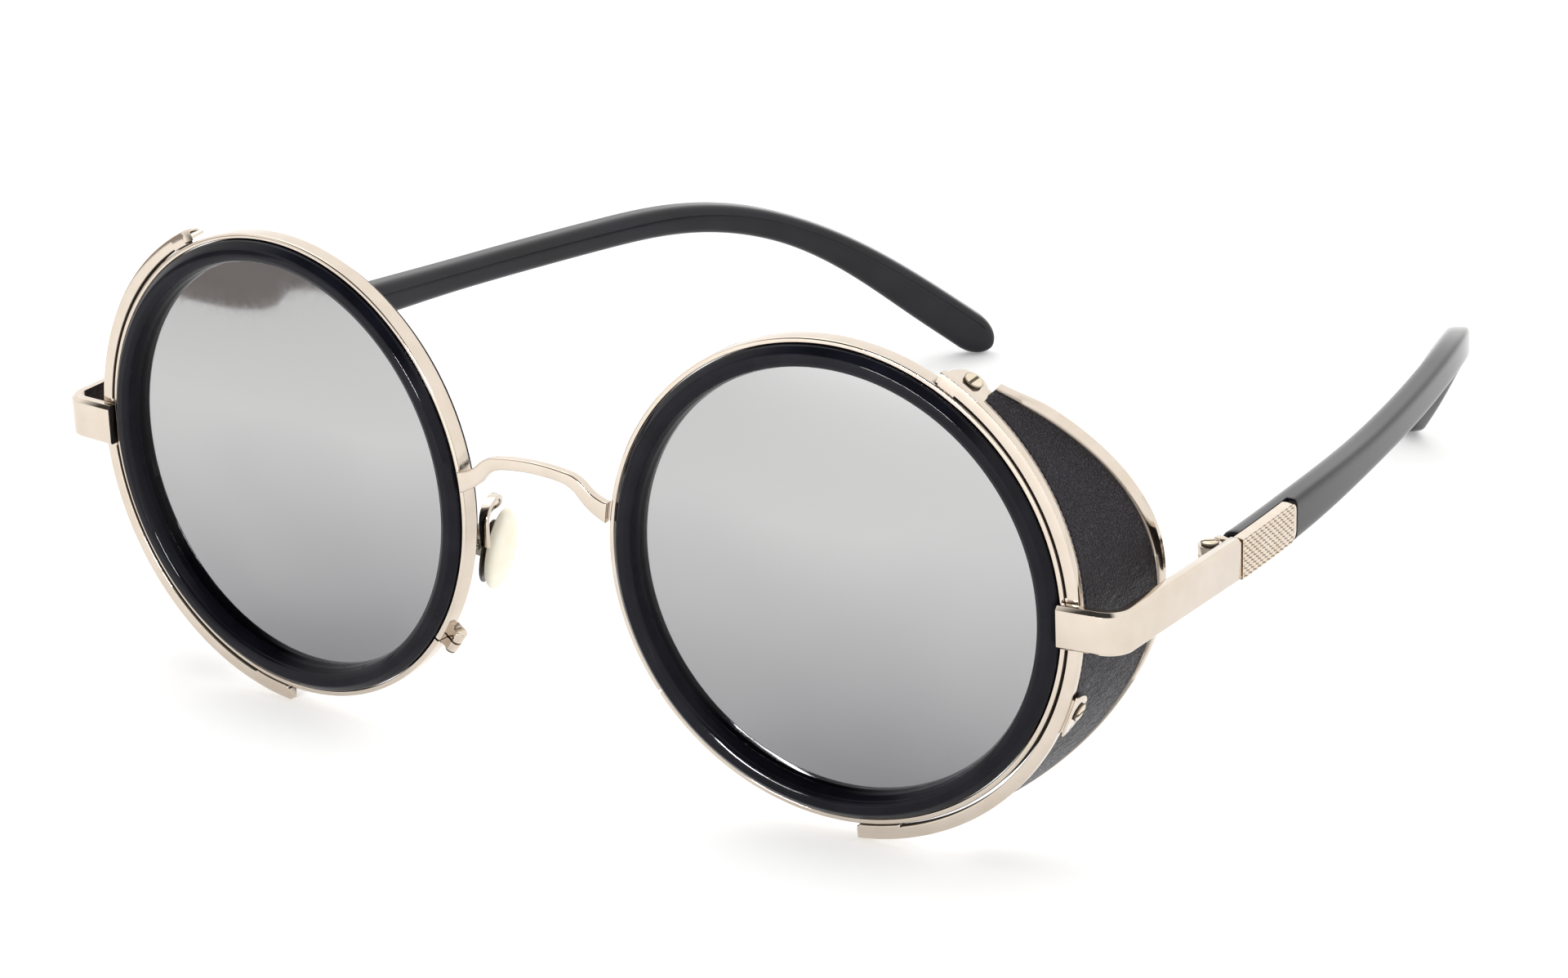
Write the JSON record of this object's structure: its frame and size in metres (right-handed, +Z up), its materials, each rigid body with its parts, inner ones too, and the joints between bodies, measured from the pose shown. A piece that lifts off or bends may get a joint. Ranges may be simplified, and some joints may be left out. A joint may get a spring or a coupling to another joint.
{
  "type": "glacier glasses",
  "caption": "Round-lens metal glacier glasses with black inner rings, mirrored lenses, leather-covered side shields, folding black temples and rocking nose pads.",
  "frame": {"origin": "middle of the footprint, on the surface the open glasses stand on", "axes": "+X to the wearer's left, +Y backward from the lenses to the ear tips, +Z up"},
  "size_m": [0.1448, 0.1468, 0.057],
  "materials": {
    "polished_gold": "polished pale champagne-gold plating",
    "screw_gold": "polished pale gold screws with cut slots",
    "knurled_gold": "pale gold plating over a fine diamond knurl with a smooth bevel",
    "gloss_black_acetate": "polished black acetate ring",
    "gloss_black_temple": "polished black acetate with a soft grey sheen",
    "mirror_lens": "silver mirror coating on a grey polycarbonate lens",
    "black_leather": "fine-grained black leather",
    "core_steel": "plain drawn steel",
    "cream_silicone": "soft cream translucent silicone"
  },
  "bodies": {
    "front_frame": {"left_rim": "polished_gold", "left_closing_screw": "screw_gold", "left_inner_ring": "gloss_black_acetate", "left_lens": "mirror_lens", "left_shield_bar": "polished_gold", "left_shield_shell": "polished_gold", "left_shield_leather": "black_leather", "left_shield_screw_upper": "screw_gold", "left_shield_screw_lower": "screw_gold", "left_endpiece": "polished_gold", "left_hinge_front": "polished_gold", "left_hinge_screw": "screw_gold", "left_pad_arm": "polished_gold", "left_pad_box": "polished_gold", "left_pad_screw": "screw_gold", "right_rim": "polished_gold", "right_closing_screw": "screw_gold", "right_inner_ring": "gloss_black_acetate", "right_lens": "mirror_lens", "right_shield_bar": "polished_gold", "right_shield_shell": "polished_gold", "right_shield_leather": "black_leather", "right_shield_screw_upper": "screw_gold", "right_shield_screw_lower": "screw_gold", "right_endpiece": "polished_gold", "right_hinge_front": "polished_gold", "right_hinge_screw": "screw_gold", "right_pad_arm": "polished_gold", "right_pad_box": "polished_gold", "right_pad_screw": "screw_gold", "bridge": "polished_gold"},
    "left_temple": {"left_hinge_tongue": "polished_gold", "left_knurled_plate": "knurled_gold", "left_temple_arm": "gloss_black_temple", "left_temple_core": "core_steel"},
    "right_temple": {"right_hinge_tongue": "polished_gold", "right_knurled_plate": "knurled_gold", "right_temple_arm": "gloss_black_temple", "right_temple_core": "core_steel"},
    "left_nose_pad": {"left_pad_backplate": "core_steel", "left_nose_pad": "cream_silicone"},
    "right_nose_pad": {"right_pad_backplate": "core_steel", "right_nose_pad": "cream_silicone"}
  },
  "joints": [
    {"name": "left_temple_fold", "type": "hinge", "parent": "front_frame", "child": "left_temple", "pos_m": [0.0692, -0.0444, 0.02933], "axis": [0, 0, 1], "range_deg": [0, 78]},
    {"name": "right_temple_fold", "type": "hinge", "parent": "front_frame", "child": "right_temple", "pos_m": [-0.0692, -0.0444, 0.02933], "axis": [0, 0, -1], "range_deg": [0, 71]},
    {"name": "left_nose_pad_rock", "type": "hinge", "parent": "front_frame", "child": "left_nose_pad", "pos_m": [0.0148, -0.06353, 0.02228], "axis": [0.1692, 0.9848, 0.0391], "range_deg": [-8, 8]},
    {"name": "right_nose_pad_rock", "type": "hinge", "parent": "front_frame", "child": "right_nose_pad", "pos_m": [-0.0148, -0.06353, 0.02228], "axis": [0.1692, -0.9848, -0.0391], "range_deg": [-8, 8]}
  ]
}
